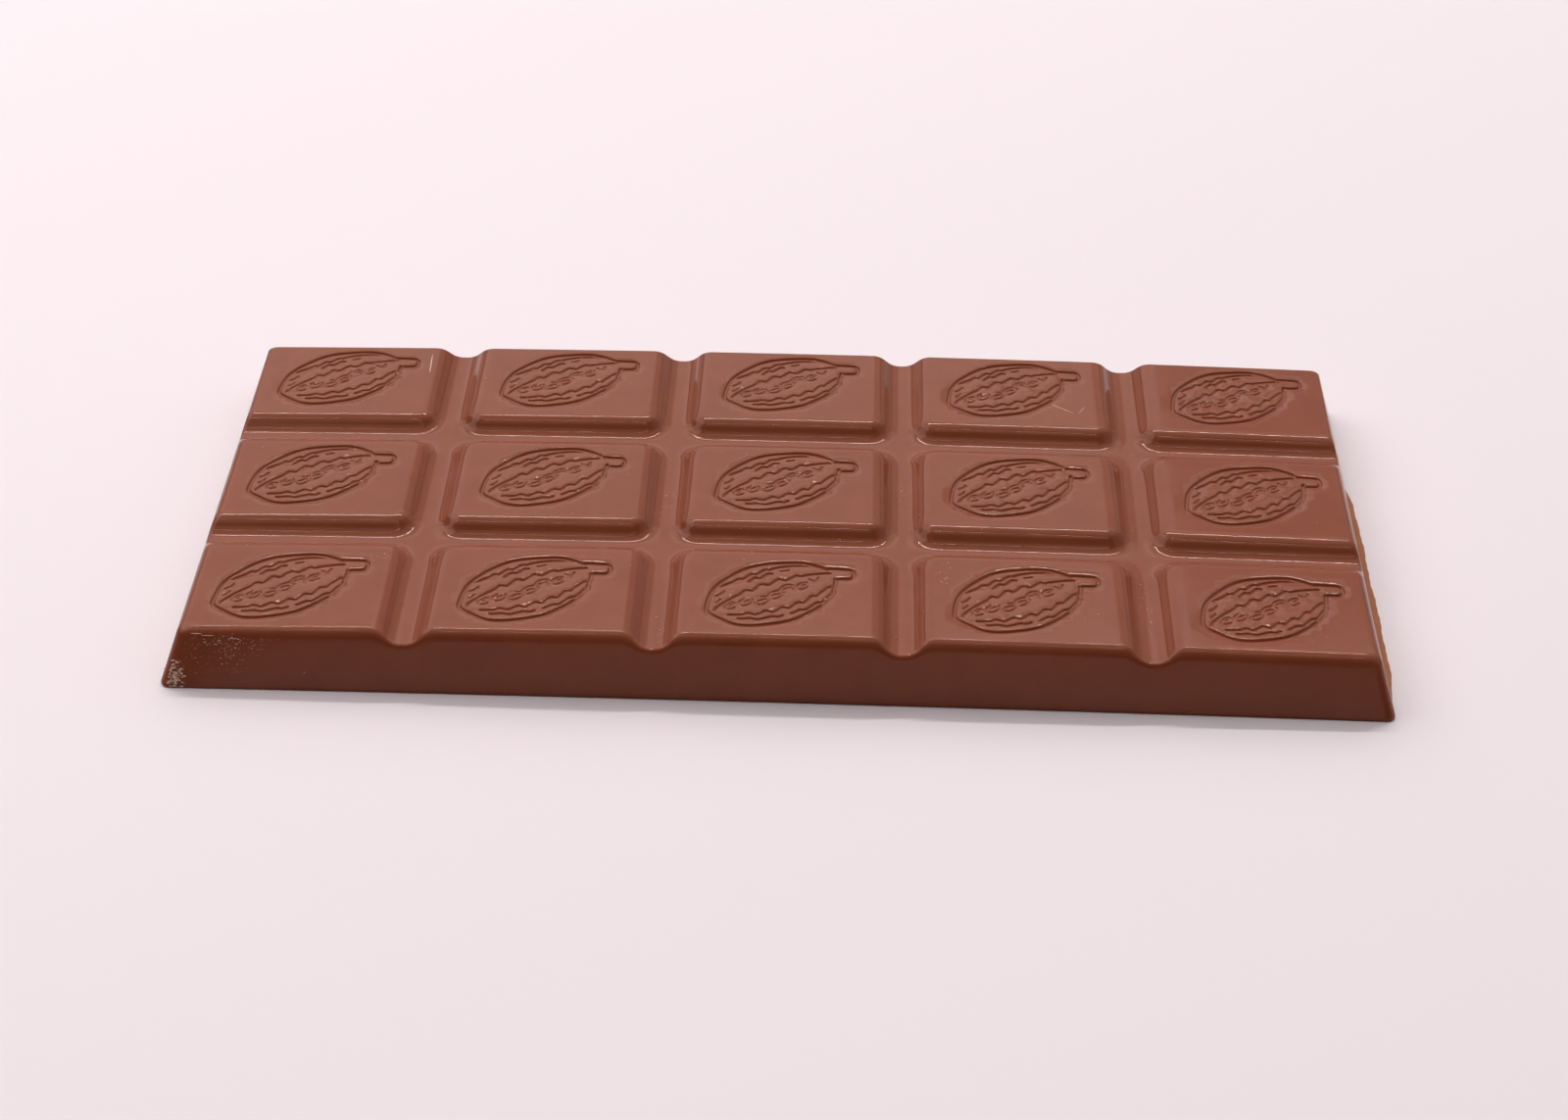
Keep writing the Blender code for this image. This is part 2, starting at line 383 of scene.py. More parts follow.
@dataclass
class CocoaPod:
    """The common confectioner's figure of a split cocoa pod, sunk in a tile by fine lines.

    It is drawn in the pod's own frame, along its axis from the tip and across it.
    """

    tip: tuple[float, float]
    tilt: float = math.radians(29.5)
    length: float = 17.75
    upper_width: float = 6.1
    lower_width: float = 6.25
    seed_count: int = 6
    point_spacing: float = 0.34
    closest: float = 0.085
    rim_gap: float = 0.04
    stray: float = 0.03
    strokes: list[Stroke] = field(default_factory=list)

    def __post_init__(self) -> None:
        """Draw every line of the figure."""
        self.strokes = [
            Stroke(self.body_outline(), Cut.OUTLINE),
            Stroke(self.stalk_outline(), Cut.OUTLINE),
            Stroke(self.seed_ridge(), Cut.RIDGE),
            Stroke(self.upper_ridge(3.9, 16.3, 0.0), Cut.RIDGE),
            Stroke(self.upper_ridge(7.5, 11.0, -0.95), Cut.RIDGE),
            Stroke(self.upper_ridge(12.2, 13.2, -0.9), Cut.SEED),
            Stroke(self.lower_ridge(), Cut.RIDGE),
            Stroke(self.lower_fold(9.1, 16.2), Cut.RIDGE),
            Stroke(self.lower_fold(2.7, 8.0), Cut.RIDGE),
            *self.seeds(),
            *self.tip_hatching(),
        ]

    def place(self, along: np.ndarray, across: np.ndarray) -> np.ndarray:
        """Turn pod coordinates by the pod's tilt and move them from its tip to the tile's plan.

        Args:
            along: distances along the pod's axis from its tip.
            across: distances across the axis.

        Returns:
            One row of x and y for each.
        """
        x = self.tip[0] + along * math.cos(self.tilt) - across * math.sin(self.tilt)
        y = self.tip[1] + along * math.sin(self.tilt) + across * math.cos(self.tilt)
        return np.stack([x, y], axis=1)

    def body_outline(self) -> np.ndarray:
        """Outline of the body from above the stalk round the tip to below the stalk.

        An ellipse by its angle t. Towards the tip its half width is drawn in by 45 %
        of cos^4 t above and 15 % below, towards the stalk by a tenth of cos t below.

        Returns:
            Plan points along the outline.
        """
        angle = np.radians(np.linspace(12.0, 347.0, 180))
        forward = np.maximum(np.cos(angle), 0.0)
        backward = np.maximum(-np.cos(angle), 0.0) ** 4
        upper = self.upper_width * (1.0 - 0.45 * backward)
        lower = self.lower_width * (1.0 - 0.15 * backward - 0.1 * forward)
        width = np.where(np.sin(angle) > 0.0, upper, lower)
        # Slow swells of up to 0.15 mm, five and eight to the turn, keep the hand drawn look.
        swell = 1.0 + 0.013 * np.sin(5.0 * angle + 0.6) + 0.011 * np.sin(8.0 * angle + 2.0)
        along = self.length / 2.0 * (1.0 + np.cos(angle) * swell)
        return self.place(along, width * np.sin(angle) * swell)

    def stalk_outline(self) -> np.ndarray:
        """Outline of the stalk: two nearly level lines joined by a squarish cap.

        The cap is half a superellipse of power 3, x = w cos^(2/3) t and y = h sin^(2/3) t.

        Returns:
            Plan points from the body's upper end to its lower end.
        """
        body = self.body_outline()
        turn = np.radians(np.linspace(90.0, -90.0, 15))
        reach = 1.1 * np.cos(turn).clip(0.0) ** (2.0 / 3.0)
        rise = 1.05 * np.sign(np.sin(turn)) * np.abs(np.sin(turn)) ** (2.0 / 3.0)
        cap = np.stack([8.25 + reach, 4.5 + rise], axis=1)
        return np.concatenate([body[:1], [[6.2, 5.66]], cap, [[6.95, 3.42]], body[-1:]])

    def ripple(
        self, along: np.ndarray, height: float, start: float, end: float, pitch: float
    ) -> np.ndarray:
        """A notched wave, sin p - 0.35 sin 2 p of its phase p, faded over 1 mm at each end.

        Args:
            along: distances along the pod.
            height: height of the wave.
            start: where it starts.
            end: where it ends.
            pitch: length of one wave.

        Returns:
            The wave's height at each distance.
        """
        phase = 2.0 * math.pi * (along - start) / pitch
        window = smooth_step(along, start - 0.5, start + 0.5)
        window = window * (1.0 - smooth_step(along, end - 0.8, end + 0.2))
        return height * window * (np.sin(phase) - 0.35 * np.sin(2.0 * phase))

    def seed_ridge(self) -> np.ndarray:
        """The line above the seeds: 2 mm times the 0.7th power of a half sine, with a ripple.

        Returns:
            Plan points from the tip to the stalk.
        """
        start, end = 0.9, 17.6
        along = np.linspace(start, end, 90)
        arch = 2.0 * np.sin(math.pi * (along - start) / (end - start + 0.6)) ** 0.7
        return self.place(along, arch + self.ripple(along, 0.3, 5.5, 14.3, 2.4))

    def upper_ridge(self, start: float, end: float, offset: float) -> np.ndarray:
        """A line near the upper edge, rippled to 11 mm.

        It is a lopsided arch about the place 10 mm from the tip: with d the distance
        from there, its height is 4.7 - 0.03 d^2 - 0.0028 d^3.

        Args:
            start: where it starts along the pod.
            end: where it ends.
            offset: how far it lies outside that arch.

        Returns:
            Plan points from start to end.
        """
        along = np.linspace(start, end, 70)
        arch = 4.7 - 0.03 * (along - 10.0) ** 2 - 0.0028 * (along - 10.0) ** 3 + offset
        return self.place(along, arch + self.ripple(along, 0.2, 5.9, 11.4, 2.0))

    def lower_ridge(self) -> np.ndarray:
        """The line below the seeds, hooked back by a small half turn near the stalk.

        Its depth below the axis is 1.1 mm and 2.5 mm times a flattened half sine, with a ripple.

        Returns:
            Plan points from the tip end to the hook.
        """
        along = np.linspace(2.0, 16.0, 90)
        arch = -1.1 - 2.5 * np.sin(math.pi * (along - 1.3) / 16.4) ** 0.75
        line = np.stack([along, arch + self.ripple(along, 0.26, 3.6, 14.4, 2.2)], axis=1)
        turn = np.radians(np.linspace(80.0, -75.0, 8))
        centre = line[-1] + np.array([0.05, -0.5])
        hook = centre + 0.5 * np.stack([np.cos(turn), np.sin(turn)], axis=1)
        whole = np.concatenate([line, hook])
        return self.place(whole[:, 0], whole[:, 1])

    def lower_fold(self, start: float, end: float) -> np.ndarray:
        """A rippled line outside the lower ridge: -1.4 - 3.6 times a flattened half sine.

        Args:
            start: where it starts along the pod.
            end: where it ends.

        Returns:
            Plan points from start to end.
        """
        along = np.linspace(start, end, 50)
        arch = -1.4 - 3.6 * np.sin(math.pi * (along - 1.4) / 16.8) ** 0.6
        return self.place(along, arch + self.ripple(along, 0.16, start + 0.4, end, 2.6))

    def seeds(self) -> list[Stroke]:
        """A row of seeds between the ridges, each an open almond ring with a fold inside.

        Returns:
            The strokes of all seeds and of the small notch at the stalk end of the row.
        """
        strokes = []
        spots = np.linspace(3.2, 13.2, self.seed_count)
        sizes = 0.75 + 0.3 * np.sin(math.pi * (spots - 2.0) / 13.0)
        for number, (spot, size) in enumerate(zip(spots, sizes)):
            lift = -0.45 + 0.45 * math.sin(1.7 * number + 0.9)
            turn = np.radians(np.linspace(25.0, 300.0, 22)) + 1.3 * number
            across = 0.72 * size * np.sin(turn)
            ring = (spot + size * np.cos(turn) + 0.3 * across, lift + across)
            strokes.append(Stroke(self.place(*ring), Cut.SEED))
            fold = np.linspace(-0.55, 0.55, 7) * size
            inner = (spot + fold, lift + 0.12 + 0.5 * size * (fold / size) ** 2 * math.cos(number))
            strokes.append(Stroke(self.place(*inner), Cut.SEED))
        notch = (np.array([14.6, 15.1, 15.8]), np.array([0.45, -0.4, 0.25]))
        strokes.append(Stroke(self.place(*notch), Cut.SEED))
        return strokes

    def tip_hatching(self) -> list[Stroke]:
        """Two short bowed lines by the tip, each a quarter of its reach times s^2 and a slant of 0.2 s.

        Returns:
            One stroke for each line.
        """
        strokes = []
        share = np.linspace(-1.0, 1.0, 7)
        for along, across, reach in ((2.3, 1.5, 0.5), (3.1, 2.7, 0.7)):
            line = (along + reach * share, across + 0.25 * reach * (share**2) + 0.2 * share)
            strokes.append(Stroke(self.place(*line), Cut.SEED))
        return strokes

    def clearance(self, points: np.ndarray) -> np.ndarray:
        """Distance from each plan point to the nearest stroke."""
        return np.min([distance_to_line(points, stroke.points) for stroke in self.strokes], axis=0)

    def depth(self, points: np.ndarray) -> np.ndarray:
        """How deep the figure is cut at plan points.

        For each stroke the distance to its nearest segment gives a flat floor, then a
        smooth step up to the mouth; the deepest stroke wins.

        Args:
            points: n rows of x and y in the tile's plan.

        Returns:
            n depths.
        """
        depth = np.zeros(len(points))
        for stroke in self.strokes:
            floor, mouth, cut = stroke.cut.value
            distance = distance_to_line(points, stroke.points)
            depth = np.maximum(depth, cut * (1.0 - smooth_step(distance, floor, mouth)))
        return depth

    def mesh_points(self) -> np.ndarray:
        """Points that follow every stroke on both sides, for a mesh that shows the cuts.

        Each stroke gets rows at its centre, its floor's edge, twice on its slope and
        just outside its mouth, and a fan round each end. A point that strays into
        another stroke's cut is left out, and of points closer than the least distance one stays.

        Returns:
            n rows of x and y.
        """
        chosen = []
        spread = np.radians([-45.0, 0.0, 45.0])
        for stroke in self.strokes:
            floor, mouth, _ = stroke.cut.value
            line = stroke.resampled(self.point_spacing)
            forward = np.gradient(line, axis=0)
            forward /= np.linalg.norm(forward, axis=1, keepdims=True)
            side = np.stack([-forward[:, 1], forward[:, 0]], axis=1)
            rows = [(0.0, line)]
            slope = (0.6 * floor + 0.4 * mouth, 0.25 * floor + 0.75 * mouth)
            for offset in (floor, *slope, mouth + self.rim_gap):
                rows += [(offset, line + offset * side), (offset, line - offset * side)]
                for end, outward in ((line[0], -forward[0]), (line[-1], forward[-1])):
                    fan = math.atan2(outward[1], outward[0]) + spread
                    rows.append((offset, end + offset * np.stack([np.cos(fan), np.sin(fan)], axis=1)))
            chosen += [row[self.clearance(row) > offset - self.stray] for offset, row in rows]
        points = np.concatenate(chosen)
        cells = np.unique(np.round(points / self.closest).astype(int), axis=0, return_index=True)[1]
        return points[np.sort(cells)]


def distance_to_line(points: np.ndarray, line: np.ndarray) -> np.ndarray:
    """Distance from each point to the nearest segment of a line in plan.

    A point is dropped square onto each segment, held between its ends, and the
    shortest drop is kept.

    Args:
        points: n rows of x and y.
        line: the line's corners in order.

    Returns:
        n distances.
    """
    start = line[:-1]
    step = line[1:] - start
    square = np.maximum((step**2).sum(axis=1), TINY**2)
    away = points[:, None, :] - start[None, :, :]
    share = np.clip((away * step[None]).sum(axis=2) / square, 0.0, 1.0)
    gap = away - share[..., None] * step[None]
    return np.sqrt((gap**2).sum(axis=2)).min(axis=1)


def loop_round(table: np.ndarray) -> np.ndarray:
    """The entries on the edge of a table over x and y, anticlockwise from its low corner, each once."""
    return np.concatenate([table[:-1, 0], table[-1, :-1], table[:0:-1, -1], table[0, :0:-1]])


# The bar -------------------------------------------------------------------------------


@dataclass(frozen=True)
class GrooveSection:
    """Section of a groove, by the distance outward from a tile's flat top.

    An arc bends the rim down to the wall's slope, the wall runs on straight, and a
    second arc brings it level again at a narrow flat floor about the centre line.
    """

    rim_radius: float = 2.6
    foot_radius: float = 2.6
    slope: float = math.radians(42.0)
    depth: float = 1.7
    floor: float = 0.23
    corner_radius: float = 0.6

    @property
    def rim_run(self) -> float:
        """Plan width of the rim's arc."""
        return self.rim_radius * math.sin(self.slope)

    @property
    def foot_run(self) -> float:
        """Plan width of the foot's arc."""
        return self.foot_radius * math.sin(self.slope)

    @property
    def wall_drop(self) -> float:
        """Height of the straight wall: the depth less both arcs' heights."""
        return self.depth - (self.rim_radius + self.foot_radius) * (1.0 - math.cos(self.slope))

    @property
    def half_width(self) -> float:
        """Plan distance from a tile's flat top to the groove's centre line."""
        return self.rim_run + self.wall_drop / math.tan(self.slope) + self.foot_run + self.floor

    def drop(self, distance: np.ndarray) -> np.ndarray:
        """Depth under the tile's top.

        Args:
            distance: how far outside the tile's flat top a point lies.

        Returns:
            The depth, from 0 on the tile to the full depth on the centre line.
        """
        rim = self.rim_radius - np.sqrt(self.rim_radius**2 - np.clip(distance, 0.0, self.rim_run) ** 2)
        rim_drop = self.rim_radius * (1.0 - math.cos(self.slope))
        wall = rim_drop + (distance - self.rim_run) * math.tan(self.slope)
        wall_end = self.half_width - self.floor - self.foot_run
        to_centre = np.clip(wall_end + self.foot_run - distance, 0.0, self.foot_run)
        foot = self.depth - self.foot_radius + np.sqrt(self.foot_radius**2 - to_centre**2)
        return np.where(distance < self.rim_run, rim, np.where(distance < wall_end, wall, foot))


@dataclass
class ChocolateBar:
    """The bar's skin: tiles, grooves, drafted sides, rounded rim, sunk pods and flat base.

    A pair of values is along the bar and across it. A patch is the flat rectangle of a
    tile that carries the pod. The wall, groove and shelf lines say where mesh lines lie:
    in from the foot, out from a groove's centre line, and by the share of a patch's half
    width. Each ring of the foot has its inset and its height.
    """

    half_length: float
    half_width: float
    crown: float
    finish: MilkChocolateFinish
    tiles: tuple[int, int] = (5, 3)
    pitch: tuple[float, float] = (31.0, 24.9)
    shift: tuple[float, float] = (0.0, 0.8)
    end_thickness: float = 7.65
    taper: float = 0.3
    draft: float = math.radians(18.7)
    back_draft: float = math.radians(13.5)
    side_corner: float = 1.2
    corner_fade: tuple[float, float] = (3.0, 3.7)
    rim_radius: float = 1.5
    back_rim_radius: float = 0.6
    mouth_radius: float = 0.5
    foot_hollow: float = 0.43
    hollow_fade: float = 4.0
    foot_start: float = 0.11
    foot_rings: tuple[tuple[float, float], ...] = ((0.107, 0.22), (0.12, 0.12), (0.17, 0.045), (0.28, 0.0))
    wall_lines: tuple[float, ...] = (0.16, 0.28, 0.5, 0.8, 1.1, 1.4)
    rim_line_pitch: float = 0.11
    groove_lines: tuple[float, ...] = (
        0.35, 0.7, 1.05, 1.4, 1.75, 2.05, 2.25, 2.45, 2.65, 2.87, 3.1, 3.35, 3.6, 3.85, 4.11,
    )
    patch: tuple[float, float] = (21.4, 16.4)
    patch_steps: tuple[int, int] = (12, 10)
    net_pitch: float = 1.3
    net_clearance: float = 0.85
    shelf_lines: tuple[float, ...] = (-0.97, -0.93, 0.93, 0.97)
    shelf_clearance: float = 0.6
    groove: GrooveSection = field(default_factory=GrooveSection)
    pod_shifts: tuple[float, ...] = (-0.45, 0.3, 0.0)

    def side_levels(self) -> np.ndarray:
        """Distances in from the foot at which mesh lines run along a side.

        They are wide on the wall and crowd from the groove mouths' bend to the top of
        the rim's bend, with two more just inside it.

        Returns:
            Sorted distances.
        """
        rim = self.end_thickness * math.tan(self.draft)
        top = rim + self.rim_radius * math.tan((math.pi / 2.0 - self.draft) / 2.0)
        wall = np.array([self.foot_start, *self.wall_lines])
        close = np.arange(wall[-1] + 0.2, top, self.rim_line_pitch)
        return np.concatenate([wall, close, top + np.array([0.02, 0.3])])

    def centres(self, axis: int) -> np.ndarray:
        """Positions of the tiles' centres along an axis, 0 along the bar and 1 across it."""
        number = np.arange(self.tiles[axis]) - (self.tiles[axis] - 1) / 2.0
        return number * self.pitch[axis] + self.shift[axis]

    def lines(self, axis: int) -> np.ndarray:
        """Where mesh lines lie along one axis.

        They crowd on the bends of the sides and the grooves and are wide on the flats.

        Args:
            axis: 0 along the bar, 1 across it.

        Returns:
            Sorted positions.
        """
        levels = self.side_levels()
        centres = self.centres(axis)
        half_size = (self.half_length, self.half_width)[axis]
        half_patch = self.patch[axis] / 2.0
        margin = half_patch + 0.1
        low_levels = levels[levels < half_size + centres[0] - margin]
        high_levels = levels[levels < half_size - centres[-1] - margin]
        groove = np.array(self.groove_lines)
        groove = np.concatenate((-groove[::-1], [0.0], groove))
        flat = np.linspace(-half_patch, half_patch, self.patch_steps[axis] + 1)
        parts = [half_size - high_levels, low_levels - half_size]
        parts += [seam + groove for seam in centres[:-1] + self.pitch[axis] / 2.0]
        parts += [centre + flat for centre in centres]
        return np.unique(np.round(np.concatenate(parts), 6))

    def span(self, lines: np.ndarray, centre: float, axis: int) -> tuple[int, int]:
        """Numbers of the mesh lines along the two edges of the patch about a centre."""
        edges = centre + np.array([-0.5, 0.5]) * self.patch[axis]
        return tuple(int(np.argmin(np.abs(lines - edge))) for edge in edges)

    def tile_frame(
        self, x: np.ndarray, y: np.ndarray
    ) -> tuple[np.ndarray, np.ndarray, np.ndarray, np.ndarray]:
        """Place of points from the centre of the rounding of their own tile's nearest corner.

        A side that lies on the bar's own edge has no groove, so the distance there is
        far negative.

        Args:
            x: positions along the bar.
            y: positions across the bar.

        Returns:
            Distances beyond the corner centre along x and y, and the signs of the two sides.
        """
        results = []
        for value, count, pitch, shift in zip((x, y), self.tiles, self.pitch, self.shift):
            number = np.clip(np.floor((value - shift) / pitch + count / 2.0), 0, count - 1)
            local = value - shift - (number - (count - 1) / 2.0) * pitch
            sign = np.where(local < 0.0, -1.0, 1.0)
            core = pitch / 2.0 - self.groove.half_width - self.groove.corner_radius
            outermost = ((number == 0) & (sign < 0.0)) | ((number == count - 1) & (sign > 0.0))
            results.append((np.where(outermost, FAR_INSIDE, np.abs(local) - core), sign))
        (qx, sx), (qy, sy) = results
        return qx, qy, sx, sy

    def side_inset(self, x: np.ndarray, y: np.ndarray) -> np.ndarray:
        """How far in from the foot the outline through a point lies.

        The outline keeps its corner radius R at every level. With a and b the distances
        past the corner centre, the inset t solves (a + t)^2 + (b + t)^2 = R^2. Behind, where
        the side is steeper, distances from it count for more by the ratio of the tangents.

        Args:
            x: positions along the bar.
            y: positions across the bar.

        Returns:
            The inset at each point.
        """
        radius = self.side_corner
        steeper = math.tan(self.draft) / math.tan(self.back_draft)
        a = radius - (self.half_length - np.abs(x))
        b = radius - (self.half_width - np.abs(y)) * np.where(y > 0.0, steeper, 1.0)
        straight = radius - np.maximum(a, b)
        inside = np.clip(2.0 * radius**2 - (a - b) ** 2, 0.0, None)
        curved = (np.sqrt(inside) - a - b) / 2.0
        return np.where(np.abs(a - b) < radius, curved, straight)

    def height(self, x: np.ndarray, y: np.ndarray) -> np.ndarray:
        """Height of the skin over the plan, without the pods.

        The level over the grooves and the drafted side's plane meet in a circular
        bend of the rim's radius on a tile and of the mouth's radius at a groove. The
        whole is then stretched upward: with s the share of the half length, by the crown
        times 1 - s^2 and by the taper times s.

        Args:
            x: positions along the bar.
            y: positions across the bar.

        Returns:
            Heights over the base.
        """
        qx, qy, _, _ = self.tile_frame(x, y)
        outside = np.hypot(np.maximum(qx, 0.0), np.maximum(qy, 0.0))
        distance = outside + np.minimum(np.maximum(qx, qy), 0.0) - self.groove.corner_radius
        drop = self.groove.drop(distance)
        level = self.end_thickness - drop
        backward = smooth_step(y, 0.0, self.half_width)
        rim = self.rim_radius + (self.back_rim_radius - self.rim_radius) * backward
        radius = rim + (self.mouth_radius - rim) * drop / self.groove.depth
        beyond = level * math.tan(self.draft) - self.side_inset(x, y)
        turn = math.pi / 2.0 - self.draft
        from_tangent = np.maximum(beyond + radius * math.tan(turn / 2.0), 0.0)
        arc = radius - np.sqrt(np.maximum(radius**2 - from_tangent**2, 0.0))
        plane = beyond / math.tan(self.draft)
        bend = np.where(from_tangent < radius * math.sin(turn), arc, plane)
        share = x / (self.half_length - self.end_thickness * math.tan(self.draft))
        crown = self.crown - self.end_thickness
        thickness = self.end_thickness + crown * (1.0 - share**2) + self.taper * share
        return (level - bend) * thickness / self.end_thickness

    def round_tile_corners(self, x: np.ndarray, y: np.ndarray) -> tuple[np.ndarray, np.ndarray]:
        """Bend the mesh lines round the tiles' corners so that they follow the groove walls.

        In the corner square, the square ring at distance m becomes the arc of radius m,
        by turning the place along the ring into an angle. Past the foot of the wall the
        lines go back to straight.

        Args:
            x: straight mesh positions along the bar.
            y: straight mesh positions across the bar.

        Returns:
            The bent positions.
        """
        qx, qy, sx, sy = self.tile_frame(x, y)
        ring = np.maximum(np.maximum(qx, qy), TINY)
        active = (qx > TINY) & (qy > TINY)
        low = np.where(active, np.minimum(qx, qy), 0.0) / ring * math.pi / 4.0
        angle = np.where(qx >= qy, low, math.pi / 2.0 - low)
        edge = self.groove.half_width + self.groove.corner_radius
        back = smooth_step(ring, 0.75 * edge, edge)
        move_x = np.where(active, (ring * np.cos(angle) - qx) * (1.0 - back), 0.0)
        move_y = np.where(active, (ring * np.sin(angle) - qy) * (1.0 - back), 0.0)
        return x + sx * move_x, y + sy * move_y

    def round_side_corners(self, x: np.ndarray, y: np.ndarray) -> tuple[np.ndarray, np.ndarray]:
        """Bend the mesh lines round the bar's four upright corners.

        At inset L the square corner becomes an arc of the corner's radius: a point s
        along from the corner goes to 45 degrees plus or minus 45 s / R on the arc.

        Args:
            x: straight mesh positions along the bar.
            y: straight mesh positions across the bar.

        Returns:
            The bent positions.
        """
        inset_x = self.half_length - np.abs(x)
        inset_y = self.half_width - np.abs(y)
        inset = np.minimum(inset_x, inset_y)
        radius = self.side_corner * (1.0 - smooth_step(inset, *self.corner_fade))
        along = np.abs(inset_x - inset_y)
        active = along < radius
        share = np.where(active, along / np.maximum(radius, TINY), 0.0) * math.pi / 4.0
        angle = math.pi / 4.0 + np.where(inset_x > inset_y, share, -share)
        new_x = self.half_length - inset - radius + radius * np.cos(angle)
        new_y = self.half_width - inset - radius + radius * np.sin(angle)
        return np.where(active, np.sign(x) * new_x, x), np.where(active, np.sign(y) * new_y, y)

    def pod_patch(
        self, pod: CocoaPod, edge_x: np.ndarray, edge_y: np.ndarray
    ) -> tuple[np.ndarray, np.ndarray]:
        """Mesh the flat rectangle that carries a pod, about the tile's centre.

        The rectangle's own mesh points, rows along the strokes, a loose net over the
        flats and two rows inside each long side are joined by a Delaunay mesh.

        Args:
            pod: the figure, in the tile's plan.
            edge_x: mesh positions along the rectangle's long sides.
            edge_y: mesh positions along its short sides.

        Returns:
            Plan points, the rectangle's edge first and anticlockwise, and triangles.
        """
        high_x, high_y = edge_x[-1], edge_y[-1]
        rim = loop_round(np.stack(np.meshgrid(edge_x, edge_y, indexing="ij"), axis=2))
        inner = pod.mesh_points()
        # Points too near to the rectangle's edge would make slivers there.
        inner = inner[(np.abs(inner[:, 0]) < high_x - 0.15) & (np.abs(inner[:, 1]) < high_y - 0.05)]
        lines = [np.arange(edge[0] + 1.1, edge[-1] - 0.5, self.net_pitch) for edge in (edge_x, edge_y)]
        net = np.stack([part.ravel() for part in np.meshgrid(*lines)], axis=1)
        net = net[pod.clearance(net) > self.net_clearance]
        shelf_x = np.tile(edge_x[1:-1], len(self.shelf_lines))
        shelf = np.stack([shelf_x, np.repeat(self.shelf_lines, len(edge_x) - 2) * high_y], axis=1)
        shelf = shelf[pod.clearance(shelf) > self.shelf_clearance]
        cloud = [Vector(point) for point in np.concatenate([rim, inner, net, shelf])]
        loop = [list(range(len(rim)))]
        points, _, faces, origins, _, _ = delaunay_2d_cdt(cloud, [], loop, 1, 1e-6, True)

        # The Delaunay mesh has its own order, and the rectangle's edge goes back to the front.
        order = np.full(len(cloud), -1)
        for number, sources in enumerate(origins):
            order[sources] = number
        edge = order[: len(rim)]
        order = np.concatenate([edge, np.setdiff1d(np.arange(len(points)), edge)])
        renumber = np.empty(len(points), int)
        renumber[order] = np.arange(len(points))
        return np.array([tuple(point) for point in points])[order], renumber[np.array(faces)]

    def pod_patches(
        self, line_x: np.ndarray, line_y: np.ndarray, numbers: np.ndarray
    ) -> tuple[np.ndarray, np.ndarray, np.ndarray]:
        """Mesh the middles of all tiles, with one patch for the tiles of a row.

        Args:
            line_x: mesh positions along the bar.
            line_y: mesh positions across the bar.
            numbers: the grid's vertex numbers.

        Returns:
            The points inside the patches, the triangles, and which of the grid's cells stay.
        """
        centres_x = self.centres(0)
        spans = [self.span(line_x, centre, 0) for centre in centres_x]
        stays = np.ones((len(line_x) - 1, len(line_y) - 1), bool)
        points, triangles = [], []
        total = numbers.size
        for centre_y, shift in zip(self.centres(1), self.pod_shifts):
            pod = CocoaPod(tip=(POD_TIP[0], POD_TIP[1] + shift))
            left, right = spans[0]
            front, back = self.span(line_y, centre_y, 1)
            plan, faces = self.pod_patch(
                pod, line_x[left : right + 1] - centres_x[0], line_y[front : back + 1] - centre_y
            )
            depth = pod.depth(plan)
            for centre_x, (left, right) in zip(centres_x, spans):
                stays[left:right, front:back] = False
                rim = loop_round(numbers[left : right + 1, front : back + 1])
                x, y = (plan[len(rim) :] + np.array([centre_x, centre_y])).T
                points.append(np.stack([x, y, self.height(x, y) - depth[len(rim) :]], axis=1))
                triangles.append(np.concatenate([rim, total + np.arange(len(x))])[faces])
                total += len(x)
        return np.concatenate(points), np.concatenate(triangles), stays

    def front_bow(self, x: np.ndarray, z: np.ndarray) -> np.ndarray:
        """The front's inward bow: its hollow times 1 - (x / half length)^2 times 1 - z / thickness."""
        low = np.clip(1.0 - z / self.end_thickness, 0.0, 1.0)
        return self.foot_hollow * (1.0 - (x / self.half_length) ** 2) * low

    def build(self) -> bpy.types.Object:
        """Mesh the whole skin and put it in the place of the CAD bar.

        Returns:
            The bar's object.
        """
        line_x, line_y = self.lines(0), self.lines(1)
        x, y = self.round_tile_corners(*np.meshgrid(line_x, line_y, indexing="ij"))
        x, y = self.round_side_corners(x, y)
        numbers = np.arange(x.size).reshape(x.shape)
        inner, triangles, stays = self.pod_patches(line_x, line_y, numbers)
        cloud = np.concatenate([np.stack([x, y, self.height(x, y)], axis=2).reshape(-1, 3), inner])
        quads = np.stack([numbers[:-1, :-1], numbers[1:, :-1], numbers[1:, 1:], numbers[:-1, 1:]], axis=2)

        loop = loop_round(numbers)
        skirt, skirt_quads, base = self.foot(cloud[loop], loop, len(cloud), len(line_x), len(line_y))
        quads = np.concatenate([quads[stays], skirt_quads])
        cloud = np.concatenate([cloud, skirt])
        behind = cloud[:, 1] + self.half_width
        bow = self.front_bow(cloud[:, 0], cloud[:, 2])
        cloud[:, 1] += bow * np.clip(1.0 - behind / self.hollow_fade, 0.0, 1.0)

        # Grid points under the patches belong to no face, and are left out.
        used = np.unique(np.concatenate([quads.ravel(), triangles.ravel()]))
        compact = np.full(len(cloud), -1)
        compact[used] = np.arange(len(used))
        faces = compact[quads].tolist() + compact[triangles].tolist()
        faces += [compact[polygon].tolist() for polygon in base]
        return add_part("bar_skin", cloud[used], faces, self.finish.material())

